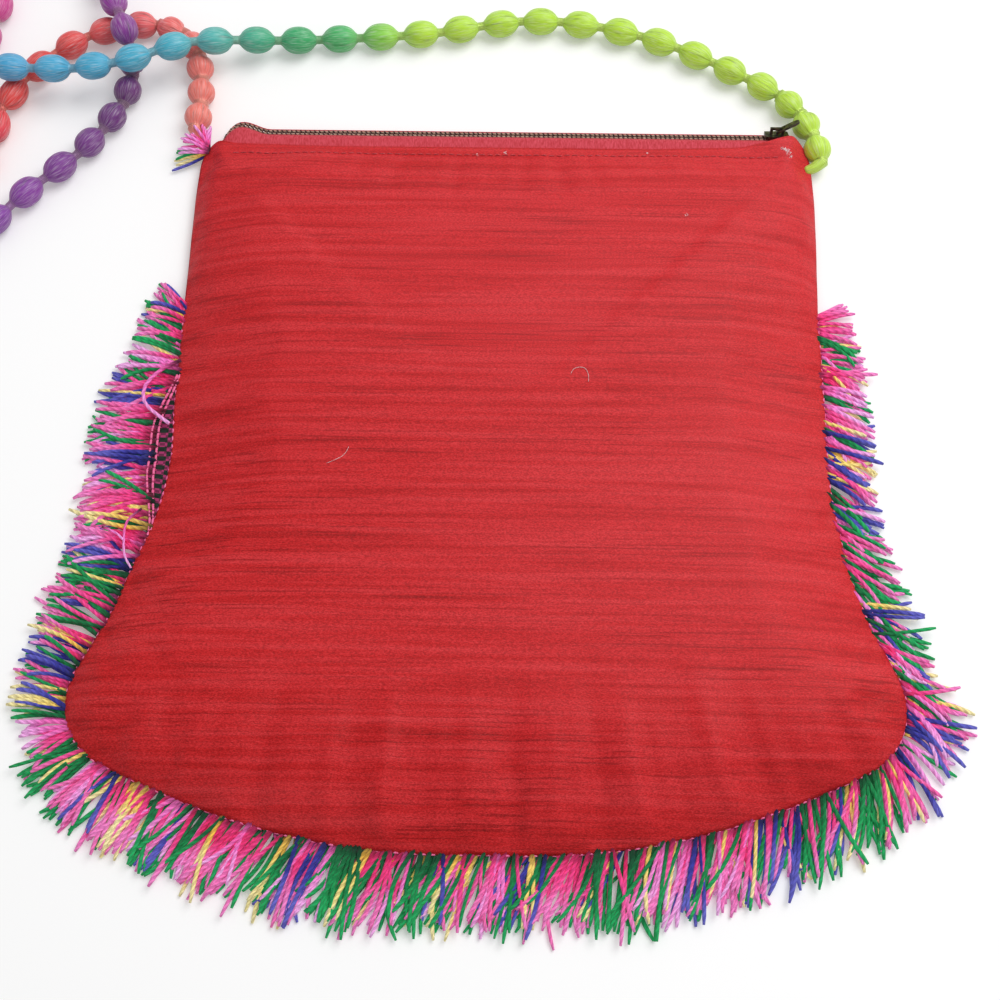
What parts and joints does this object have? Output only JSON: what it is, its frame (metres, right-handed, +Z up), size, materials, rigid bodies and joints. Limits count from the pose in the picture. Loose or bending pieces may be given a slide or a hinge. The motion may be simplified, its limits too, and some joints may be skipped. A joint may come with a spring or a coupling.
{
  "type": "crossbody bag",
  "caption": "Flat bell-shaped crossbody bag with a zipped mouth, yarn fringe round the flared bottom and a long beaded strap.",
  "frame": {"origin": "centreline of the bag on the underside of the front panel, 115 mm below the back panel's mouth fold", "axes": "+X to the right with the back panel up, +Y from the bottom seam to the mouth, +Z up from the surface it lies on"},
  "size_m": [0.4162, 0.3681, 0.0181],
  "materials": {
    "red_silk": "slub silk with a soft sheen",
    "lining_cotton": "plain woven, matte",
    "yarn": "two-ply twisted yarn, matte",
    "zip_tape": "woven tape, matte",
    "zip_coil": "extruded monofilament, satin",
    "slider_metal": "aged die-cast metal",
    "strap_silk": "gathered shiny fibre in graded colours"
  },
  "bodies": {
    "bag": {"back_panel": "red_silk", "front_panel": "red_silk", "back_lining": "lining_cotton", "front_lining": "lining_cotton", "fringe_trim": "yarn", "root_tuft": "yarn", "zip_tape_back": "zip_tape", "zip_tape_front": "zip_tape", "zip_coil_back": "zip_coil", "zip_coil_front": "zip_coil", "strap": "strap_silk"},
    "slider": {"zip_slider": "slider_metal"},
    "pull": {"zip_pull": "slider_metal"}
  },
  "joints": [
    {"name": "slider_slide", "type": "slide", "parent": "bag", "child": "slider", "axis": [1, 0, 0], "range_m": [-0.169, 0]},
    {"name": "pull_swing", "type": "hinge", "parent": "slider", "child": "pull", "pos_m": [0.0925, 0.12092, 0.00723], "axis": [0, -0.8192, 0.5736], "range_deg": [-28, 150]}
  ]
}
